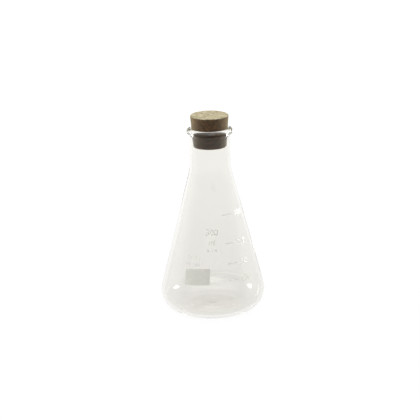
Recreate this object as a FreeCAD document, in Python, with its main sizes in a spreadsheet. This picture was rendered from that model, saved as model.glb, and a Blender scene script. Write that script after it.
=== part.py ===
"""A narrow-neck conical (Erlenmeyer) flask of the 300 ml size, with its tapered cork.

Millimetres, +Z up. The origin is the centre of the foot, on the surface that the flask stands on, and the
printed marks face -Y. Three kinds of piece make it up: the blown glass flask, the cork that plugs its
neck, and the white enamel marks fired onto the glass.
"""
import FreeCAD, Part
import math
import os
import Sketcher
from FreeCAD import Vector

# Driving dimensions: the alias of the cell, its value and what it measures.
SIZES = (
    ("total_height", 156.0, "foot to top of rim"),
    ("body_diameter", 87.0, "widest part of the body"),
    ("neck_diameter", 34.0, "outside of the straight neck"),
    ("neck_length", 30.0, "top of rim down to the start of the shoulder"),
    ("neck_wall", 2.0, "glass at the neck and the top of the cone"),
    ("body_wall", 2.6, "glass at the heel and the foot of the cone"),
    ("base_thickness", 5.0, "glass at the middle of the base"),
    ("heel_radius", 16.5, "round between the base and the cone"),
    ("shoulder_radius", 30.0, "round between the cone and the neck"),
    ("foot_width", 2.5, "flat ring that the flask stands on"),
    ("punt_height", 2.5, "rise of the hollow under the base"),
    ("bead_diameter", 38.0, "outside of the rim's bead"),
    ("bead_radius", 3.0, "round of the bead"),
    ("bead_blend", 1.2, "round between the bead and the neck"),
    ("mouth_round", 0.9, "round of the mouth's inner edge"),
    ("mouth_overrun", 1.0, "how far the cavity's tool stands above the rim"),
    ("cork_length", 26.0, "whole length of the cork"),
    ("cork_proud", 10.4, "length of cork above the rim"),
    ("cork_half_angle", 4.8, "taper of the cork, degrees each side"),
    ("cork_bevel", 0.5, "broken edge at each end of the cork"),
    ("seat_clearance", 0.08, "cork to glass, where it seats in the mouth"),
    ("enamel_thickness", 0.1, "fired enamel above the glass"),
    ("line_height", 0.55, "height of a graduation line"),
    ("line_start", 20.0, "azimuth where the graduation lines start"),
    ("line_arc", 9.5, "length of a graduation line round the glass"),
    ("patch_height", 13.5, "height of the write-on patch"),
    ("patch_arc", 22.5, "length of the write-on patch round the glass"),
    ("patch_bottom", 32.0, "height of the patch's lower edge"),
    ("patch_start", -36.0, "azimuth of the patch's left edge"),
)
CAPACITIES = (150, 200, 250, 300)

doc = FreeCAD.newDocument("conical_flask")


# ---------------------------------------------------------------- the sheet of sizes
def fill_sheet():
    """Write each size into its own named cell."""
    table = doc.addObject("Spreadsheet::Sheet", "sizes")
    for row, (alias, value, meaning) in enumerate(SIZES, start=1):
        table.set(f"A{row}", alias)
        table.set(f"B{row}", str(value))
        table.set(f"C{row}", meaning)
        table.setAlias(f"B{row}", alias)
    return table


sheet = fill_sheet()
doc.recompute()


# ---------------------------------------------------------------- sketch helpers
def new_sketch(body, name):
    """A sketch on the body's own XZ plane: sketch x is the radius and sketch y is the height."""
    sketch = body.newObject("Sketcher::SketchObject", name)
    plane = next(item for item in body.Origin.OriginFeatures if item.Role == "XZ_Plane")
    sketch.AttachmentSupport = [(plane, "")]
    sketch.MapMode = "FlatFace"
    return sketch


def line(sketch, start, end):
    return sketch.addGeometry(Part.LineSegment(Vector(*start, 0), Vector(*end, 0)), False)


def arc(sketch, centre, radius, start_angle, end_angle):
    """An arc that runs anticlockwise between two angles in radians."""
    circle = Part.Circle(Vector(*centre, 0), Vector(0, 0, 1), radius)
    return sketch.addGeometry(Part.ArcOfCircle(circle, start_angle, end_angle), False)


START, END, CENTRE = 1, 2, 3
HORIZONTAL_AXIS, VERTICAL_AXIS, ORIGIN = -1, -2, (-1, 1)


def constrain(sketch, kind, *places):
    sketch.addConstraint(Sketcher.Constraint(kind, *places))


def dimension(sketch, name, kind, places, start_value, formula):
    """A named dimension whose value follows a formula in the sheet's cells."""
    index = sketch.addConstraint(Sketcher.Constraint(kind, *places, start_value))
    sketch.renameConstraint(index, name)
    sketch.setExpression(f"Constraints.{name}", formula)


def cone_angle(heel_round, shoulder_round):
    """Slope, from upright, of the line that runs between the heel's round and the shoulder's round."""
    heel_x = sheet.body_diameter / 2 - sheet.heel_radius
    shoulder_x = sheet.neck_diameter / 2 + sheet.shoulder_radius
    rise = sheet.total_height - sheet.neck_length - sheet.heel_radius
    run = shoulder_x - heel_x
    return math.atan2(rise, run) - math.acos((heel_round + shoulder_round) / math.hypot(run, rise))


def polar(centre, radius, angle):
    return centre[0] + radius * math.cos(angle), centre[1] + radius * math.sin(angle)


# ---------------------------------------------------------------- glass flask
def draw_outside(body):
    """Half section of the flask as a solid blank, from the hollow under the base round to the rim."""
    sketch = new_sketch(body, "outside_profile")
    neck = sheet.neck_diameter / 2
    heel = (sheet.body_diameter / 2 - sheet.heel_radius, sheet.heel_radius)
    shoulder = (neck + sheet.shoulder_radius, sheet.total_height - sheet.neck_length)
    bead = (sheet.bead_diameter / 2 - sheet.bead_radius, sheet.total_height - sheet.bead_radius)
    slope = cone_angle(sheet.heel_radius, sheet.shoulder_radius)
    foot_inner = heel[0] - sheet.foot_width
    punt_radius = (foot_inner ** 2 + sheet.punt_height ** 2) / (2 * sheet.punt_height)
    blend_run = neck + sheet.bead_blend - bead[0]
    blend_drop = math.sqrt((sheet.bead_blend + sheet.bead_radius) ** 2 - blend_run ** 2)
    blend = (neck + sheet.bead_blend, bead[1] - blend_drop)
    blend_angle = math.atan2(blend_drop, -blend_run)

    punt = arc(sketch, (0, sheet.punt_height - punt_radius), punt_radius,
               math.acos(foot_inner / punt_radius), math.pi / 2)
    foot = line(sketch, (foot_inner, 0), (heel[0], 0))
    heel_arc = arc(sketch, heel, sheet.heel_radius, -math.pi / 2, slope)
    cone = line(sketch, polar(heel, sheet.heel_radius, slope),
                polar(shoulder, sheet.shoulder_radius, math.pi + slope))
    shoulder_arc = arc(sketch, shoulder, sheet.shoulder_radius, math.pi, math.pi + slope)
    neck_line = line(sketch, (neck, shoulder[1]), (neck, blend[1]))
    blend_arc = arc(sketch, blend, sheet.bead_blend, blend_angle, math.pi)
    bead_arc = arc(sketch, bead, sheet.bead_radius, blend_angle - math.pi, math.pi / 2)
    top = line(sketch, (bead[0], sheet.total_height), (0, sheet.total_height))
    axis = line(sketch, (0, sheet.total_height), (0, sheet.punt_height))

    constrain(sketch, "PointOnObject", punt, CENTRE, VERTICAL_AXIS)
    constrain(sketch, "Coincident", punt, START, foot, START)
    constrain(sketch, "PointOnObject", foot, START, HORIZONTAL_AXIS)
    constrain(sketch, "Horizontal", foot)
    constrain(sketch, "Tangent", foot, END, heel_arc, START)
    constrain(sketch, "Tangent", heel_arc, END, cone, START)
    constrain(sketch, "Tangent", cone, END, shoulder_arc, END)
    constrain(sketch, "Tangent", shoulder_arc, START, neck_line, START)
    constrain(sketch, "Vertical", neck_line)
    constrain(sketch, "Tangent", neck_line, END, blend_arc, END)
    constrain(sketch, "Tangent", blend_arc, START, bead_arc, START)
    constrain(sketch, "Tangent", bead_arc, END, top, START)
    constrain(sketch, "Horizontal", top)
    constrain(sketch, "Coincident", top, END, axis, START)
    constrain(sketch, "PointOnObject", axis, START, VERTICAL_AXIS)
    constrain(sketch, "PointOnObject", axis, END, VERTICAL_AXIS)
    constrain(sketch, "Coincident", axis, END, punt, END)

    dimension(sketch, "heel_round", "Radius", (heel_arc,), sheet.heel_radius, "sizes.heel_radius")
    dimension(sketch, "heel_reach", "DistanceX", (*ORIGIN, heel_arc, CENTRE), heel[0],
              "sizes.body_diameter / 2 - sizes.heel_radius")
    dimension(sketch, "foot_land", "DistanceX", (foot, START, foot, END), sheet.foot_width, "sizes.foot_width")
    dimension(sketch, "punt_rise", "DistanceY", (*ORIGIN, punt, END), sheet.punt_height, "sizes.punt_height")
    dimension(sketch, "shoulder_round", "Radius", (shoulder_arc,), sheet.shoulder_radius,
              "sizes.shoulder_radius")
    dimension(sketch, "neck_reach", "DistanceX", (*ORIGIN, neck_line, START), neck, "sizes.neck_diameter / 2")
    dimension(sketch, "neck_foot", "DistanceY", (*ORIGIN, neck_line, START), shoulder[1],
              "sizes.total_height - sizes.neck_length")
    dimension(sketch, "blend_round", "Radius", (blend_arc,), sheet.bead_blend, "sizes.bead_blend")
    dimension(sketch, "bead_round", "Radius", (bead_arc,), sheet.bead_radius, "sizes.bead_radius")
    dimension(sketch, "bead_reach", "DistanceX", (*ORIGIN, bead_arc, CENTRE), bead[0],
              "sizes.bead_diameter / 2 - sizes.bead_radius")
    dimension(sketch, "rim_height", "DistanceY", (*ORIGIN, top, START), sheet.total_height,
              "sizes.total_height")
    return sketch


def draw_cavity(body):
    """Half section of the inside, from the domed floor up through the open mouth."""
    sketch = new_sketch(body, "cavity_profile")
    bore = sheet.neck_diameter / 2 - sheet.neck_wall
    heel = (sheet.body_diameter / 2 - sheet.heel_radius, sheet.heel_radius)
    shoulder = (sheet.neck_diameter / 2 + sheet.shoulder_radius, sheet.total_height - sheet.neck_length)
    heel_round = sheet.heel_radius - sheet.body_wall
    shoulder_round = sheet.shoulder_radius + sheet.neck_wall
    slope = cone_angle(heel_round, shoulder_round)
    floor_top = sheet.punt_height + sheet.base_thickness
    drop = heel[1] - floor_top
    floor_radius = (heel[0] ** 2 + drop ** 2 - heel_round ** 2) / (2 * (heel_round - drop))
    floor = (0, floor_top - floor_radius)
    meet_angle = math.atan2(heel[1] - floor[1], heel[0])
    top_height = sheet.total_height + sheet.mouth_overrun

    floor_arc = arc(sketch, floor, floor_radius, meet_angle, math.pi / 2)
    heel_arc = arc(sketch, heel, heel_round, meet_angle - math.pi, slope)
    cone = line(sketch, polar(heel, heel_round, slope), polar(shoulder, shoulder_round, math.pi + slope))
    shoulder_arc = arc(sketch, shoulder, shoulder_round, math.pi, math.pi + slope)
    bore_line = line(sketch, (bore, shoulder[1]), (bore, top_height))
    top = line(sketch, (bore, top_height), (0, top_height))
    axis = line(sketch, (0, top_height), (0, floor_top))

    constrain(sketch, "PointOnObject", floor_arc, CENTRE, VERTICAL_AXIS)
    constrain(sketch, "Tangent", floor_arc, START, heel_arc, START)
    constrain(sketch, "Tangent", heel_arc, END, cone, START)
    constrain(sketch, "Tangent", cone, END, shoulder_arc, END)
    constrain(sketch, "Tangent", shoulder_arc, START, bore_line, START)
    constrain(sketch, "Vertical", bore_line)
    constrain(sketch, "Coincident", bore_line, END, top, START)
    constrain(sketch, "Horizontal", top)
    constrain(sketch, "Coincident", top, END, axis, START)
    constrain(sketch, "PointOnObject", axis, START, VERTICAL_AXIS)
    constrain(sketch, "PointOnObject", axis, END, VERTICAL_AXIS)
    constrain(sketch, "Coincident", axis, END, floor_arc, END)

    dimension(sketch, "heel_round", "Radius", (heel_arc,), heel_round, "sizes.heel_radius - sizes.body_wall")
    dimension(sketch, "heel_reach", "DistanceX", (*ORIGIN, heel_arc, CENTRE), heel[0],
              "sizes.body_diameter / 2 - sizes.heel_radius")
    dimension(sketch, "heel_lift", "DistanceY", (*ORIGIN, heel_arc, CENTRE), heel[1], "sizes.heel_radius")
    dimension(sketch, "floor_top", "DistanceY", (*ORIGIN, floor_arc, END), floor_top,
              "sizes.punt_height + sizes.base_thickness")
    dimension(sketch, "shoulder_round", "Radius", (shoulder_arc,), shoulder_round,
              "sizes.shoulder_radius + sizes.neck_wall")
    dimension(sketch, "bore_reach", "DistanceX", (*ORIGIN, bore_line, START), bore,
              "sizes.neck_diameter / 2 - sizes.neck_wall")
    dimension(sketch, "neck_foot", "DistanceY", (*ORIGIN, bore_line, START), shoulder[1],
              "sizes.total_height - sizes.neck_length")
    dimension(sketch, "tool_top", "DistanceY", (*ORIGIN, top, START), top_height,
              "sizes.total_height + sizes.mouth_overrun")
    return sketch


def round_edges(shape):
    """Name and circle of each of the shape's circular edges."""
    named = ((f"Edge{number}", edge) for number, edge in enumerate(shape.Edges, start=1))
    return [(name, edge.Curve) for name, edge in named
            if not edge.Degenerated and isinstance(edge.Curve, Part.Circle)]


def mouth_edge(shape):
    """Name of the circle where the bore meets the top of the rim."""
    bore = sheet.neck_diameter / 2 - sheet.neck_wall
    close = 0.01
    for name, circle in round_edges(shape):
        if abs(circle.Radius - bore) < close and abs(circle.Center.z - sheet.total_height) < close:
            return name
    raise RuntimeError("the mouth's edge was not found")


def build_flask():
    """The blown flask: a turned blank, its cavity, and the fire-polished mouth."""
    body = doc.addObject("PartDesign::Body", "flask_body")
    blank = body.newObject("PartDesign::Revolution", "blank")
    blank.Profile = draw_outside(body)
    blank.ReferenceAxis = (blank.Profile[0], ["V_Axis"])
    blank.Angle = 360
    doc.recompute()
    cavity = body.newObject("PartDesign::Groove", "cavity")
    cavity.Profile = draw_cavity(body)
    cavity.ReferenceAxis = (cavity.Profile[0], ["V_Axis"])
    cavity.Angle = 360
    doc.recompute()
    if cavity.Shape.Volume > 0.5 * blank.Shape.Volume:
        raise RuntimeError("the cavity was not cut")
    mouth = body.newObject("PartDesign::Fillet", "mouth")
    mouth.Base = (cavity, [mouth_edge(cavity.Shape)])
    mouth.setExpression("Radius", "sizes.mouth_round")
    doc.recompute()
    return body


# ---------------------------------------------------------------- cork
def build_cork():
    """The tapered cork. It seats where the mouth's round ends and the straight bore begins."""
    body = doc.addObject("PartDesign::Body", "cork_stopper")
    sketch = new_sketch(body, "cork_profile")
    seat = sheet.neck_diameter / 2 - sheet.neck_wall - sheet.seat_clearance
    taper = math.tan(math.radians(sheet.cork_half_angle))
    top_height = sheet.total_height + sheet.cork_proud
    bottom_height = top_height - sheet.cork_length
    top_radius = seat + taper * (sheet.cork_proud + sheet.mouth_round)
    bottom_radius = top_radius - taper * sheet.cork_length

    bottom = line(sketch, (0, bottom_height), (bottom_radius, bottom_height))
    side = line(sketch, (bottom_radius, bottom_height), (top_radius, top_height))
    top = line(sketch, (top_radius, top_height), (0, top_height))
    axis = line(sketch, (0, top_height), (0, bottom_height))
    loop = (bottom, side, top, axis)
    for here, following in zip(loop, loop[1:] + loop[:1]):
        constrain(sketch, "Coincident", here, END, following, START)
    constrain(sketch, "Horizontal", bottom)
    constrain(sketch, "Horizontal", top)
    constrain(sketch, "PointOnObject", axis, START, VERTICAL_AXIS)
    constrain(sketch, "PointOnObject", axis, END, VERTICAL_AXIS)

    seat_formula = "sizes.neck_diameter / 2 - sizes.neck_wall - sizes.seat_clearance"
    rise_formula = "tan(sizes.cork_half_angle * 1 deg) * (sizes.cork_proud + sizes.mouth_round"
    dimension(sketch, "cork_top", "DistanceY", (*ORIGIN, top, START), top_height,
              "sizes.total_height + sizes.cork_proud")
    dimension(sketch, "cork_run", "DistanceY", (axis, END, axis, START), sheet.cork_length,
              "sizes.cork_length")
    dimension(sketch, "top_reach", "DistanceX", (*ORIGIN, side, END), top_radius,
              f"{seat_formula} + {rise_formula})")
    dimension(sketch, "bottom_reach", "DistanceX", (*ORIGIN, side, START), bottom_radius,
              f"{seat_formula} + {rise_formula} - sizes.cork_length)")

    turned = body.newObject("PartDesign::Revolution", "turned_cork")
    turned.Profile = sketch
    turned.ReferenceAxis = (sketch, ["V_Axis"])
    turned.Angle = 360
    doc.recompute()
    bevel = body.newObject("PartDesign::Chamfer", "broken_edges")
    bevel.Base = (turned, [name for name, _ in round_edges(turned.Shape)])
    bevel.setExpression("Size", "sizes.cork_bevel")
    doc.recompute()
    return body


# ---------------------------------------------------------------- enamel marks
CONE_RADIUS = ("(sizes.body_diameter / 2 - sizes.heel_radius + sizes.heel_radius / cos({slope})"
               " - ({height} - sizes.heel_radius) * tan({slope}))")
CONE_SLOPE = ("(atan2(sizes.total_height - sizes.neck_length - sizes.heel_radius; {run})"
              " - acos((sizes.heel_radius + sizes.shoulder_radius)"
              " / hypot(sizes.total_height - sizes.neck_length - sizes.heel_radius; {run})))").format(
    run="(sizes.neck_diameter / 2 + sizes.shoulder_radius - sizes.body_diameter / 2 + sizes.heel_radius)")


def fill_height(capacity, cavity):
    """Height at which the cavity holds this many millilitres."""
    low, high = 0.0, sheet.total_height
    reach = sheet.body_diameter
    while high - low > 0.01:
        middle = (low + high) / 2
        below = Part.makeBox(2 * reach, 2 * reach, middle, Vector(-reach, -reach, 0))
        if cavity.common(below).Volume < capacity * 1000:
            low = middle
        else:
            high = middle
    return (low + high) / 2


def cone_sector(name, bottom, height, start, arc_length, skin):
    """A slice of solid cone that shares the glass's outer slope, grown outwards by the skin.

    bottom, height, start (azimuth from -Y), arc_length and skin are formulas in the sheet's cells.
    """
    sector = doc.addObject("Part::Cone", name)
    lower = CONE_RADIUS.format(slope=CONE_SLOPE, height=bottom)
    upper = CONE_RADIUS.format(slope=CONE_SLOPE, height=f"({bottom} + {height})")
    sector.setExpression("Height", height)
    sector.setExpression("Radius1", f"{lower} + {skin}")
    sector.setExpression("Radius2", f"{upper} + {skin}")
    sector.setExpression("Angle", f"{arc_length} / {lower} * 1 rad")
    sector.Placement = FreeCAD.Placement(Vector(0, 0, 0), FreeCAD.Rotation(Vector(0, 0, 1), 0))
    sector.setExpression("Placement.Base.z", bottom)
    sector.setExpression("Placement.Rotation.Angle", f"{start} - 90 deg")
    return sector


def build_mark(name, bottom, height, start, arc_length):
    """One enamel mark: a cone slice as thick as the enamel, less the glass that it is fired onto."""
    outer = cone_sector(f"{name}_outer", bottom, height, start, arc_length, "sizes.enamel_thickness")
    glass = cone_sector(f"{name}_glass", bottom, height, start, arc_length, "0")
    mark = doc.addObject("Part::Cut", name)
    mark.Base = outer
    mark.Tool = glass
    return mark


def build_marks(flask):
    """The write-on patch, and one line for each capacity at the height of its true volume."""
    blank = doc.getObject("blank").Shape
    cavity = blank.cut(flask.Shape)
    marks = [build_mark("write_on_patch", "sizes.patch_bottom", "sizes.patch_height",
                        "sizes.patch_start * 1 deg", "sizes.patch_arc")]
    for row, capacity in enumerate(CAPACITIES, start=len(SIZES) + 1):
        alias = f"level_{capacity}_ml"
        sheet.set(f"A{row}", alias)
        sheet.set(f"B{row}", f"{fill_height(capacity, cavity):.2f}")
        sheet.setAlias(f"B{row}", alias)
        doc.recompute()
        marks.append(build_mark(f"graduation_{capacity}_ml", f"(sizes.{alias} - sizes.line_height / 2)",
                                "sizes.line_height", "sizes.line_start * 1 deg", "sizes.line_arc"))
    doc.recompute()
    return marks


# ---------------------------------------------------------------- checks and files
def check_document(pieces):
    """Stop if any object of the document failed or any piece is empty or not valid."""
    for item in doc.Objects:
        if "Invalid" in item.State or "Error" in item.State:
            raise RuntimeError(f"{item.Name} failed: {item.State}")
        if item.TypeId == "Sketcher::SketchObject" and not item.FullyConstrained:
            raise RuntimeError(f"{item.Name} is not fully constrained")
    for piece in pieces:
        if piece.Shape.isNull() or not piece.Shape.isValid() or not piece.Shape.Solids:
            raise RuntimeError(f"{piece.Label} has no valid solid")


flask_piece = build_flask()
pieces = [flask_piece, build_cork()] + build_marks(flask_piece)
doc.recompute()
check_document(pieces)
os.makedirs("parts", exist_ok=True)
for piece in pieces:
    piece.Label = piece.Name
    piece.Shape.exportStep(f"parts/{piece.Label}.step")
    box = piece.Shape.BoundBox
    print(f"{piece.Label}: {piece.Shape.Volume / 1000:.3f} ml, "
          f"z {box.ZMin:.2f} to {box.ZMax:.2f}, {len(piece.Shape.Solids)} solid")
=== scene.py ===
import math

import bmesh
import bpy
from mathutils import Matrix, Vector, noise


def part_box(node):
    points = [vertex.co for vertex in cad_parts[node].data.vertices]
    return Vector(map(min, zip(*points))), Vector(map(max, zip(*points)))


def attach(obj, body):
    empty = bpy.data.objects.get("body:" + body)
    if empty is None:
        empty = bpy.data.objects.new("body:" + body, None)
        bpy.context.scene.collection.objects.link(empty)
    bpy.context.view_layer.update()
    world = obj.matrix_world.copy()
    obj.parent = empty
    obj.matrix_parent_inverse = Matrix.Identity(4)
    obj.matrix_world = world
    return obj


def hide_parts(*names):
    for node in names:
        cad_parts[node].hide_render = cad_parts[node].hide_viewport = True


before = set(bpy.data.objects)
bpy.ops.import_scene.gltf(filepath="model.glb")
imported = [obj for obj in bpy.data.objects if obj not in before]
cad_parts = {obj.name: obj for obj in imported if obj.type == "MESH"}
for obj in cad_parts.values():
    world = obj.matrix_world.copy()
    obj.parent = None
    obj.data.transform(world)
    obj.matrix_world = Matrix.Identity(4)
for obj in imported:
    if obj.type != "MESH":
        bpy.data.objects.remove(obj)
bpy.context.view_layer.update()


# ---------------------------------------------------------------- blown glass flask
# One piece of clear glass, blown into a mould: a thick pushed-up base, a round heel, a cone that thins
# to the shoulder, a straight neck and a fire-polished bead round the mouth. The flask stands on the
# narrow ring round the hollow of its base, and everything else is held by it.
MM = 0.001
rim_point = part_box("flask_body")[1]
rim_height = rim_point.z
body_radius = max(rim_point.x, rim_point.y)
neck_radius = 17.0 * MM
neck_foot = rim_height - 30.0 * MM
neck_wall = 2.0 * MM
body_wall = 2.6 * MM
heel_round = 16.5 * MM
shoulder_round = 30.0 * MM
punt_height = 2.5 * MM
foot_width = 2.5 * MM
floor_height = 7.5 * MM
bead_radius = 19.0 * MM
bead_round = 3.0 * MM
bead_blend = 1.2 * MM
mouth_round = 0.9 * MM
glass_steps = 192
glass_spacing = 2.0 * MM

heel_centre = Vector((body_radius - heel_round, heel_round))
shoulder_centre = Vector((neck_radius + shoulder_round, neck_foot))
bead_centre = Vector((bead_radius - bead_round, rim_height - bead_round))
mouth_centre = Vector((neck_radius - neck_wall + mouth_round, rim_height - mouth_round))


def arc_points(centre, radius, start, end, count):
    """Points on an arc of the half section, between two angles in radians, both ends included."""
    angles = [start + (end - start) * step / count for step in range(count + 1)]
    return [centre + radius * Vector((math.cos(angle), math.sin(angle))) for angle in angles]


def cone_slope(heel_size, shoulder_size):
    """Lean, from upright, of the line that touches the heel's round and the shoulder's round."""
    reach = shoulder_centre - heel_centre
    return math.atan2(reach.y, reach.x) - math.acos((heel_size + shoulder_size) / reach.length)


def outside_points():
    """Half section of the outside, from the middle of the hollow base up to the top of the rim."""
    slope = cone_slope(heel_round, shoulder_round)
    foot_inner = heel_centre.x - foot_width
    punt_radius = (foot_inner ** 2 + punt_height ** 2) / (2 * punt_height)
    punt_centre = Vector((0, punt_height - punt_radius))
    blend_x = neck_radius + bead_blend
    blend_drop = math.sqrt((bead_blend + bead_round) ** 2 - (blend_x - bead_centre.x) ** 2)
    blend_centre = Vector((blend_x, bead_centre.y - blend_drop))
    blend_angle = math.atan2(blend_drop, bead_centre.x - blend_x)
    points = arc_points(punt_centre, punt_radius, math.pi / 2, math.acos(foot_inner / punt_radius), 24)
    points += arc_points(heel_centre, heel_round, -math.pi / 2, slope, 36)
    points += arc_points(shoulder_centre, shoulder_round, math.pi + slope, math.pi, 16)
    points += arc_points(blend_centre, bead_blend, math.pi, blend_angle, 8)
    points += arc_points(bead_centre, bead_round, blend_angle - math.pi, math.pi / 2, 24)[1:]
    return points


def inside_points():
    """Half section of the inside, from the mouth's rounded edge down to the middle of the domed floor."""
    heel_size = heel_round - body_wall
    shoulder_size = shoulder_round + neck_wall
    slope = cone_slope(heel_size, shoulder_size)
    drop = heel_centre.y - floor_height
    floor_radius = (heel_centre.x ** 2 + drop ** 2 - heel_size ** 2) / (2 * (heel_size - drop))
    floor_centre = Vector((0, floor_height - floor_radius))
    meet = math.atan2(heel_centre.y - floor_centre.y, heel_centre.x)
    points = arc_points(mouth_centre, mouth_round, math.pi / 2, math.pi, 8)
    points += arc_points(shoulder_centre, shoulder_size, math.pi, math.pi + slope, 16)
    points += arc_points(heel_centre, heel_size, slope, meet - math.pi, 32)
    points += arc_points(floor_centre, floor_radius, meet, math.pi / 2, 24)[1:]
    return points


def fill_straights(points, spacing):
    """Divide the long straight stretches, so that the surface can wander there as blown glass does."""
    filled = [points[0]]
    for here, there in zip(points, points[1:]):
        parts = max(1, math.ceil((there - here).length / spacing))
        filled += [here.lerp(there, part / parts) for part in range(1, parts + 1)]
    return filled


def spin_profile(points, steps):
    """A closed solid turned round Z from a half section whose ends lie on the axis."""
    shape = bmesh.new()
    verts = [shape.verts.new((point.x, 0, point.y)) for point in points]
    edges = [shape.edges.new(pair) for pair in zip(verts, verts[1:])]
    bmesh.ops.spin(shape, geom=verts + edges, cent=(0, 0, 0), axis=(0, 0, 1), dvec=(0, 0, 0),
                   angle=2 * math.pi, steps=steps, use_merge=True, use_duplicate=False)
    bmesh.ops.remove_doubles(shape, verts=shape.verts, dist=0.001 * MM)
    bmesh.ops.recalc_face_normals(shape, faces=shape.faces)
    for face in shape.faces:
        face.smooth = True
    return shape


def new_piece(name, shape):
    """Turn a finished bmesh into an object at the origin."""
    mesh = bpy.data.meshes.new(name)
    shape.to_mesh(mesh)
    shape.free()
    piece = bpy.data.objects.new(name, mesh)
    bpy.context.scene.collection.objects.link(piece)
    return piece


glass_points = fill_straights(outside_points() + inside_points(), glass_spacing)
glass_shape = spin_profile(glass_points, glass_steps)

# The wall of blown glass is never quite even: the inside wanders by about a tenth of a millimetre, in
# long streaks up the cone, and the outside, which met the mould, by much less.
streak_size = 14.0 * MM
streak_length = 60.0 * MM
inside_wander = 0.10 * MM
outside_wander = 0.012 * MM
rim_fade = 20.0 * MM
centre_fade = 8.0 * MM
for vert in glass_shape.verts:
    radius = math.hypot(vert.co.x, vert.co.y)
    place = Vector((vert.co.x / streak_size, vert.co.y / streak_size, vert.co.z / streak_length))
    inside = vert.normal.x * vert.co.x + vert.normal.y * vert.co.y < 0
    wander = inside_wander if inside else outside_wander
    wander *= min(1.0, (rim_height - vert.co.z) / rim_fade) * min(1.0, radius / centre_fade)
    vert.co -= vert.normal * wander * (0.5 + 0.5 * noise.noise(place))


def linear(level):
    return level / 12.92 if level <= 0.04045 else ((level + 0.055) / 1.055) ** 2.4


def srgb(code):
    """Linear colour of an sRGB hex value."""
    return tuple(linear(int(code[place:place + 2], 16) / 255) for place in (1, 3, 5)) + (1.0,)


def add_node(material, kind, links=None, **settings):
    """A node with its settings, and with each named input set to a value or linked to a socket."""
    node = material.node_tree.nodes.new(kind)
    for setting, value in settings.items():
        setattr(node, setting, value)
    for socket, value in (links or {}).items():
        if isinstance(value, bpy.types.NodeSocket):
            material.node_tree.links.new(value, node.inputs[socket])
        else:
            node.inputs[socket].default_value = value
    return node


def new_material(name):
    """An empty node material, with its output node."""
    material = bpy.data.materials.new(name)
    material.use_nodes = True
    material.node_tree.nodes.clear()
    return material, add_node(material, "ShaderNodeOutputMaterial")


def paint_ramp(ramp, stops):
    """Set a colour ramp's stops from pairs of position and hex colour."""
    elements = ramp.color_ramp.elements
    while len(elements) > 1:
        elements.remove(elements[-1])
    elements[0].position = stops[0][0]
    elements[0].color = srgb(stops[0][1])
    for position, code in stops[1:]:
        elements.new(position).color = srgb(code)


def clear_flask_glass():
    """Clear laboratory glass, fire polished: smooth, nearly colourless, faintly straw where it is thick."""
    material, output = new_material("clear_flask_glass")
    surface = add_node(material, "ShaderNodeBsdfPrincipled", {
        "Base Color": srgb("#F5F4F1"), "Roughness": 0.0, "IOR": 1.48, "Transmission Weight": 1.0})
    tint = add_node(material, "ShaderNodeVolumeAbsorption", {"Color": srgb("#CFCBB4"), "Density": 6.0})
    material.node_tree.links.new(surface.outputs["BSDF"], output.inputs["Surface"])
    material.node_tree.links.new(tint.outputs["Volume"], output.inputs["Volume"])
    return material


glass = new_piece("blown_glass", glass_shape)
glass.data.materials.append(clear_flask_glass())
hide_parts("flask_body")
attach(glass, "flask")


# ---------------------------------------------------------------- ground cork stopper
# A tapered plug ground from agglomerated cork: granules of bark one to three millimetres across, pressed
# together with a little binder, so the cut ends show pale and dark flecks and open pores. It is pushed
# into the mouth by hand and stands a centimetre above the rim.
cork_low, cork_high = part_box("cork_stopper")
cork_top_radius = cork_high.x
cork_taper = math.tan(math.radians(4.8))
cork_bevel = 0.5 * MM
cork_length = cork_high.z - cork_low.z
cork_spacing = 0.45 * MM
cork_steps = 180
granule_size = 1.6 * MM
seam_share = 0.10
seam_depth = 0.05 * MM
fleck_size = 0.7 * MM
warp_size = 1.8 * MM
warp_reach = 0.9 * MM
rough_size = 0.8 * MM
rough_depth = 0.05 * MM
pore_size = 1.7 * MM
pore_depth = 0.30 * MM
pore_share = 0.30
pore_reach_share = 0.38
pore_draw = 31.7


def cork_profile():
    """Half section of the plug, from the middle of its lower end to the middle of its top."""
    bottom_radius = cork_top_radius - cork_taper * cork_length
    corners = [
        Vector((0, cork_low.z)),
        Vector((bottom_radius - cork_bevel, cork_low.z)),
        Vector((bottom_radius, cork_low.z + cork_bevel)),
        Vector((cork_top_radius, cork_high.z - cork_bevel)),
        Vector((cork_top_radius - cork_bevel, cork_high.z)),
        Vector((0, cork_high.z)),
    ]
    return fill_straights(corners, cork_spacing)


def cork_hollow(place):
    """Depth of the cork's surface below its cut face, from seams, pores and the grain of the cut."""
    granule_reach, _ = noise.voronoi(place / granule_size)
    seam = max(0.0, 1 - (granule_reach[1] - granule_reach[0]) / seam_share)
    pore_reach, pore_centres = noise.voronoi(place / pore_size)
    open_pore = noise.cell(pore_centres[0] * pore_draw) > 1 - pore_share
    pore = max(0.0, 1 - pore_reach[0] / pore_reach_share) if open_pore else 0.0
    rough = 0.5 + 0.5 * noise.noise(place / rough_size)
    return seam_depth * seam + pore_depth * min(1.0, 2 * pore) + rough_depth * rough


cork_shape = spin_profile(cork_profile(), cork_steps)
for vert in cork_shape.verts:
    vert.co -= vert.normal * cork_hollow(vert.co)
bmesh.ops.recalc_face_normals(cork_shape, faces=cork_shape.faces)


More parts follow.
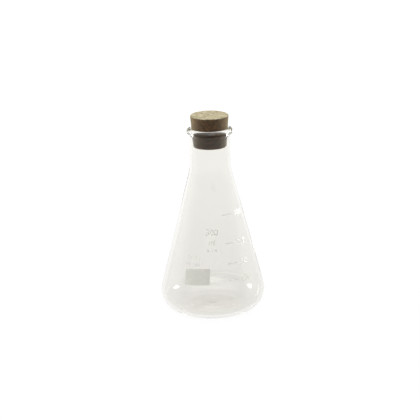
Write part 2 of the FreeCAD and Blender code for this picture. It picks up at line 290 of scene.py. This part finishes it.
def ground_cork():
    """Agglomerated cork, cut and ground: matt granules from straw to dark bark, with dark seams and pores.
    The side is given a darker, browner copy of the same cork colour than the ends: painted shade on the side."""
    material, output = new_material("ground_cork")
    place = add_node(material, "ShaderNodeTexCoord")
    warp = add_node(material, "ShaderNodeTexNoise", {
        "Vector": place.outputs["Object"], "Scale": 1 / warp_size, "Detail": 2.0})
    warped = add_node(material, "ShaderNodeVectorMath", {
        0: warp.outputs["Color"], 1: (warp_reach, warp_reach, warp_reach), 2: place.outputs["Object"]},
        operation="MULTIPLY_ADD")
    granules = add_node(material, "ShaderNodeTexVoronoi", {
        "Vector": warped.outputs["Vector"], "Scale": 1 / granule_size}, feature="F1")
    granule_shade = add_node(material, "ShaderNodeSeparateColor", {"Color": granules.outputs["Color"]})
    shades = add_node(material, "ShaderNodeValToRGB", {"Fac": granule_shade.outputs["Red"]})
    paint_ramp(shades, (
        (0.0, "#5C543F"), (0.25, "#8A8269"), (0.5, "#A49E86"), (0.8, "#BAB4A0"), (1.0, "#DAD6C6")))
    flecks = add_node(material, "ShaderNodeTexVoronoi", {
        "Vector": warped.outputs["Vector"], "Scale": 1 / fleck_size}, feature="F1")
    fleck_shade = add_node(material, "ShaderNodeSeparateColor", {"Color": flecks.outputs["Color"]})
    fleck_tones = add_node(material, "ShaderNodeValToRGB", {"Fac": fleck_shade.outputs["Green"]})
    paint_ramp(fleck_tones, ((0.0, "#6E6048"), (0.18, "#BCB49A"), (0.75, "#DEDACA"), (1.0, "#FFFFFF")))
    grain = add_node(material, "ShaderNodeMix", {
        "Factor": 0.65, "A": shades.outputs["Color"], "B": fleck_tones.outputs["Color"]},
        data_type="RGBA", blend_type="MULTIPLY")
    seams = add_node(material, "ShaderNodeTexVoronoi", {
        "Vector": warped.outputs["Vector"], "Scale": 1 / granule_size}, feature="DISTANCE_TO_EDGE")
    seam_dark = add_node(material, "ShaderNodeMapRange", {
        "Value": seams.outputs["Distance"], "From Min": 0.0, "From Max": 0.07, "To Min": 0.45, "To Max": 1.0})
    seamed = add_node(material, "ShaderNodeMix", {
        "Factor": 1.0, "A": grain.outputs["Result"], "B": seam_dark.outputs["Result"]},
        data_type="RGBA", blend_type="MULTIPLY")
    facing = add_node(material, "ShaderNodeSeparateXYZ", {"Vector": place.outputs["Normal"]})
    steep = add_node(material, "ShaderNodeMath", {0: facing.outputs["Z"]}, operation="ABSOLUTE")
    is_end = add_node(material, "ShaderNodeMapRange", {
        "Value": steep.outputs["Value"], "From Min": 0.35, "From Max": 0.8})
    # Painted shade: the side of the plug takes a darker, browner copy of the cork colour than its ends.
    side_painted_shade = add_node(material, "ShaderNodeMix", {
        "Factor": 1.0, "A": seamed.outputs["Result"], "B": srgb("#784E2A")},
        data_type="RGBA", blend_type="MULTIPLY")
    colour = add_node(material, "ShaderNodeMix", {
        "Factor": is_end.outputs["Result"], "A": side_painted_shade.outputs["Result"], "B": seamed.outputs["Result"]},
        data_type="RGBA")
    surface = add_node(material, "ShaderNodeBsdfPrincipled", {
        "Base Color": colour.outputs["Result"], "Roughness": 0.88, "IOR": 1.45,
        "Sheen Weight": 0.75, "Sheen Roughness": 0.6, "Sheen Tint": srgb("#D2C49C")})
    material.node_tree.links.new(surface.outputs["BSDF"], output.inputs["Surface"])
    return material


cork = new_piece("ground_cork_stopper", cork_shape)
cork.data.materials.append(ground_cork())
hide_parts("cork_stopper")
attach(cork, "stopper")


# ---------------------------------------------------------------- fired enamel marks
# White enamel, screen printed on the finished flask and fired until it fuses with the glass: a matt
# patch to write on, a line and a number for each capacity, the nominal volume and two lines of small print.
enamel_gap = 0.01 * MM
enamel_thickness = 0.06 * MM
bend_spacing = 0.8 * MM
line_start = math.radians(20.0)
line_arc = 9.5 * MM
number_gap = 1.6 * MM
number_size = 6.4 * MM
number_drop = 0.35 * number_size
mottle_size = 2.2 * MM
patch_start = math.radians(-36.0)
patch_width = 21.6 * MM
patch_tilt = math.radians(4.5)
patch_corner = 1.2 * MM
line_corner = 0.1 * MM


def glass_radius(height):
    """Outside radius of the flask's cone at a height."""
    slope = cone_slope(heel_round, shoulder_round)
    return heel_centre.x + heel_round / math.cos(slope) - (height - heel_round) * math.tan(slope)


def flat_bar(width, height, corner):
    """A flat rectangle from the origin to the right, centred on the X axis, with round corners."""
    shape = bmesh.new()
    bmesh.ops.create_grid(shape, x_segments=1, y_segments=1, size=0.5)
    bmesh.ops.scale(shape, vec=(width, height, 1), verts=shape.verts)
    bmesh.ops.translate(shape, vec=(width / 2, 0, 0), verts=shape.verts)
    bmesh.ops.bevel(shape, geom=shape.verts, offset=corner, offset_type="OFFSET", affect="VERTICES",
                    segments=4, profile=0.5, material=-1)
    return shape


def flat_words(words, size, align="LEFT"):
    """Plain figures as a flat mesh, on a baseline through the origin."""
    lettering = bpy.data.curves.new("lettering", "FONT")
    lettering.body = words
    lettering.size = size
    lettering.align_x = align
    lettering.resolution_u = 3
    draft = bpy.data.objects.new("lettering", lettering)
    bpy.context.scene.collection.objects.link(draft)
    bpy.context.view_layer.update()
    flat = bpy.data.meshes.new_from_object(draft.evaluated_get(bpy.context.evaluated_depsgraph_get()))
    shape = bmesh.new()
    shape.from_mesh(flat)
    bpy.data.objects.remove(draft)
    bpy.data.curves.remove(lettering)
    bpy.data.meshes.remove(flat)
    return shape


def fire_on(name, shape, azimuth, height):
    """Give a flat mark its thickness, bend it onto the cone and fuse it there as a piece of the flask."""
    bmesh.ops.remove_doubles(shape, verts=shape.verts, dist=0.01 * MM)
    left = min(vert.co.x for vert in shape.verts)
    right = max(vert.co.x for vert in shape.verts)
    for cut in range(1, math.ceil((right - left) / bend_spacing)):
        everything = shape.verts[:] + shape.edges[:] + shape.faces[:]
        bmesh.ops.bisect_plane(shape, geom=everything, dist=0.001 * MM,
                               plane_co=(left + cut * bend_spacing, 0, 0), plane_no=(1, 0, 0))
    raised = bmesh.ops.extrude_face_region(shape, geom=shape.faces[:])
    bmesh.ops.translate(shape, vec=(0, 0, enamel_thickness),
                        verts=[item for item in raised["geom"] if isinstance(item, bmesh.types.BMVert)])
    slope = cone_slope(heel_round, shoulder_round)
    for vert in shape.verts:
        z = height + vert.co.y * math.cos(slope)
        angle = azimuth + vert.co.x / glass_radius(z)
        radius = glass_radius(z) + enamel_gap + vert.co.z
        vert.co = (radius * math.sin(angle), -radius * math.cos(angle), z)
    bmesh.ops.recalc_face_normals(shape, faces=shape.faces)
    mark = new_piece(name, shape)
    mark.data.materials.append(enamel_paint)
    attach(mark, "flask")
    return mark


def fired_enamel():
    """White ceramic enamel, screen printed and fired: matt, thin enough to let light through, mottled."""
    material, output = new_material("fired_white_enamel")
    place = add_node(material, "ShaderNodeTexCoord")
    mottle = add_node(material, "ShaderNodeTexNoise", {
        "Vector": place.outputs["Object"], "Scale": 1 / mottle_size, "Detail": 4.0})
    tones = add_node(material, "ShaderNodeValToRGB", {"Fac": mottle.outputs["Fac"]})
    paint_ramp(tones, ((0.35, "#EFEFE6"), (0.65, "#F8F8F2")))
    surface = add_node(material, "ShaderNodeBsdfPrincipled", {
        "Base Color": tones.outputs["Color"], "Roughness": 0.6, "IOR": 1.5, "Transmission Weight": 0.45})
    material.node_tree.links.new(surface.outputs["BSDF"], output.inputs["Surface"])
    return material


enamel_paint = fired_enamel()
patch_low, patch_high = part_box("write_on_patch")
patch_height = patch_high.z - patch_low.z
patch_middle = (patch_high.z + patch_low.z) / 2
patch_shape = flat_bar(patch_width, patch_height, patch_corner)
bmesh.ops.rotate(patch_shape, verts=patch_shape.verts, cent=(patch_width / 2, 0, 0),
                 matrix=Matrix.Rotation(patch_tilt, 3, "Z"))
patch = fire_on("enamel_patch", patch_shape, patch_start, patch_middle)
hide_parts("write_on_patch")

for capacity in (150, 200, 250, 300):
    line_low, line_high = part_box(f"graduation_{capacity}_ml")
    level = (line_low.z + line_high.z) / 2
    line_shape = flat_bar(line_arc, line_high.z - line_low.z, line_corner)
    line = fire_on(f"enamel_line_{capacity}", line_shape, line_start, level)
    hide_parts(f"graduation_{capacity}_ml")
    number_start = line_start + (line_arc + number_gap) / glass_radius(level)
    number_shape = flat_words(str(capacity), number_size)
    fire_on(f"enamel_number_{capacity}", number_shape, number_start, level - number_drop)

for name, words, size, azimuth, height in (
        ("volume", "300", 7.0 * MM, 0, 72.5 * MM),
        ("unit", "ml", 6.0 * MM, 0, 65.0 * MM),
        ("tolerance", "\u00b1 5 %", 3.6 * MM, 0, 59.5 * MM),
        ("temperature", "20 \u00b0C  |", 3.6 * MM, -26, 53.0 * MM),
        ("scale_range", "150 \u2013 300", 3.2 * MM, -27, 47.6 * MM)):
    fire_on(f"enamel_{name}", flat_words(words, size, "CENTER"), math.radians(azimuth), height)


# ---------------------------------------------------------------- the studio
# A pale table lit from within, so that no shadow falls on it, in a room that is dim in front of the flask,
# a little dimmer on the right than on the left, and bright behind and above. A broad light hangs overhead,
# one stands in front and a small one stands on each side.
floor_reach = 6.0
floor_drop = 0.05 * MM
floor_shape = bmesh.new()
bmesh.ops.create_grid(floor_shape, x_segments=1, y_segments=1, size=floor_reach)
bmesh.ops.translate(floor_shape, vec=(0, 0, -floor_drop), verts=floor_shape.verts)
floor = new_piece("studio_floor", floor_shape)

floor_paint, floor_output = new_material("lit_white_table")
floor_place = add_node(floor_paint, "ShaderNodeTexCoord")
floor_axes = add_node(floor_paint, "ShaderNodeSeparateXYZ", {"Vector": floor_place.outputs["Object"]})
near_glow = add_node(floor_paint, "ShaderNodeMapRange", {
    "Value": floor_axes.outputs["Y"], "From Min": -1.0, "From Max": -0.22, "To Min": 0.75, "To Max": 0.96},
    interpolation_type="SMOOTHSTEP")
far_glow = add_node(floor_paint, "ShaderNodeMapRange", {
    "Value": floor_axes.outputs["Y"], "From Min": 0.05, "From Max": 0.45, "To Min": 1.0, "To Max": 1.08},
    interpolation_type="SMOOTHSTEP")
floor_glow = add_node(floor_paint, "ShaderNodeMath", {
    0: near_glow.outputs["Result"], 1: far_glow.outputs["Result"]}, operation="MULTIPLY")
floor_surface = add_node(floor_paint, "ShaderNodeBsdfPrincipled", {
    "Base Color": srgb("#404040"), "Roughness": 0.9, "Specular IOR Level": 0.0,
    "Emission Color": srgb("#FFFFFF"), "Emission Strength": floor_glow.outputs["Value"]})
floor_paint.node_tree.links.new(floor_surface.outputs["BSDF"], floor_output.inputs["Surface"])
floor.data.materials.append(floor_paint)
floor.visible_glossy = False

room = bpy.data.worlds.new("studio_room")
room.use_nodes = True
room_place = add_node(room, "ShaderNodeTexCoord")
room_axes = add_node(room, "ShaderNodeSeparateXYZ", {"Vector": room_place.outputs["Generated"]})
back_wall = add_node(room, "ShaderNodeMapRange", {
    "Value": room_axes.outputs["Y"], "From Min": -0.6, "From Max": 0.3, "To Min": 0.08, "To Max": 0.9},
    interpolation_type="SMOOTHSTEP")
right_wall = add_node(room, "ShaderNodeMapRange", {
    "Value": room_axes.outputs["X"], "From Min": 0.2, "From Max": 0.8, "To Min": 1.0, "To Max": 0.75},
    interpolation_type="SMOOTHSTEP")
walls = add_node(room, "ShaderNodeMath", {
    0: back_wall.outputs["Result"], 1: right_wall.outputs["Result"]}, operation="MULTIPLY")
ceiling = add_node(room, "ShaderNodeMapRange", {
    "Value": room_axes.outputs["Z"], "From Min": 0.35, "From Max": 0.7, "To Min": 0.0, "To Max": 0.9},
    interpolation_type="SMOOTHSTEP")
room_glow = add_node(room, "ShaderNodeMath", {
    0: walls.outputs["Value"], 1: ceiling.outputs["Result"]}, operation="MAXIMUM")
room_light = room.node_tree.nodes["Background"]
room_light.inputs["Color"].default_value = srgb("#FFFFFF")
room.node_tree.links.new(room_glow.outputs["Value"], room_light.inputs["Strength"])
bpy.context.scene.world = room


def add_panel(name, place, size, power):
    """A square soft light at a place, turned towards the flask."""
    data = bpy.data.lights.new(name, "AREA")
    data.size = size
    data.energy = power
    light = bpy.data.objects.new(name, data)
    light.location = place
    light.rotation_euler = (panel_target - place).to_track_quat("-Z", "Y").to_euler()
    bpy.context.scene.collection.objects.link(light)


def add_sky(name, spread, strength, tilt):
    """A broad soft light from far away. Its spread, and its tilt from overhead to the front, are degrees."""
    data = bpy.data.lights.new(name, "SUN")
    data.angle = math.radians(spread)
    data.energy = strength
    light = bpy.data.objects.new(name, data)
    light.rotation_euler = (math.radians(tilt), 0, 0)
    bpy.context.scene.collection.objects.link(light)


panel_target = Vector((0, 0, 0.12))
panel_size = 0.2
panel_power = 3.0
add_sky("light_overhead", 60, 0.6, -8)
add_sky("light_front", 40, 0.55, 48)
add_panel("light_left", Vector((-0.70, 0.28, 0.30)), panel_size, panel_power)
add_panel("light_right", Vector((0.70, 0.28, 0.30)), panel_size, panel_power)

# The camera stands a little above the flask and leans by a degree.
camera_distance = 1.2637
camera_height_angle = math.radians(18.16)
camera_roll = math.radians(1.23)
camera_target = Vector((0, 0, 0.072))
camera_aim = Vector((-0.00106, 0, 0.08496))
camera_data = bpy.data.cameras.new("camera")
camera_data.sensor_width = 36.0
camera_data.lens = 129.7
camera = bpy.data.objects.new("camera", camera_data)
camera.location = camera_target + camera_distance * Vector((
    0, -math.cos(camera_height_angle), math.sin(camera_height_angle)))
view_turn = (camera_aim - camera.location).to_track_quat("-Z", "Y")
camera.rotation_euler = (view_turn.to_matrix() @ Matrix.Rotation(-camera_roll, 3, "Z")).to_euler()
bpy.context.scene.collection.objects.link(camera)
bpy.context.scene.camera = camera
bpy.context.scene.view_settings.view_transform = "Standard"

# Light that enters the bead runs down inside the wall, from side to side, and leaves at the base. It is
# followed all the way, because the rim looks black where it is given up.
light_path = 128
bpy.context.scene.cycles.max_bounces = light_path
bpy.context.scene.cycles.glossy_bounces = light_path
bpy.context.scene.cycles.transmission_bounces = light_path
